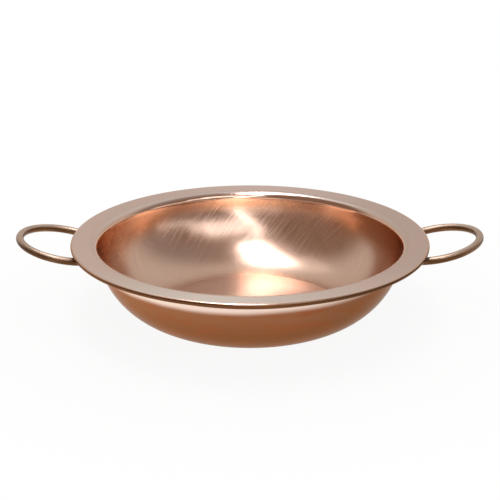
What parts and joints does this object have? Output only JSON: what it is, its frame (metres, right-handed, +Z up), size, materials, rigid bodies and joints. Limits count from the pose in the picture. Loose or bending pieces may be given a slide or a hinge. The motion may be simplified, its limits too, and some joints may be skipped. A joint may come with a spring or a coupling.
{
  "type": "fondue pot",
  "caption": "Shallow round copper fondue pot with a wide flat rim, a rolled edge and looped rod handles at the sides, made to be held over a burner.",
  "frame": {"origin": "middle of the underside of the flat base, on the surface that the pot stands on", "axes": "+Z up out of the bowl, +X through the middle of the handles"},
  "size_m": [0.3662, 0.28, 0.0655],
  "materials": {
    "sheet_copper": "satin brushed copper",
    "handle_rod": "satin bronzed copper rod"
  },
  "bodies": {
    "root": {"pan": "sheet_copper", "handle_left": "handle_rod", "handle_right": "handle_rod"}
  },
  "joints": []
}
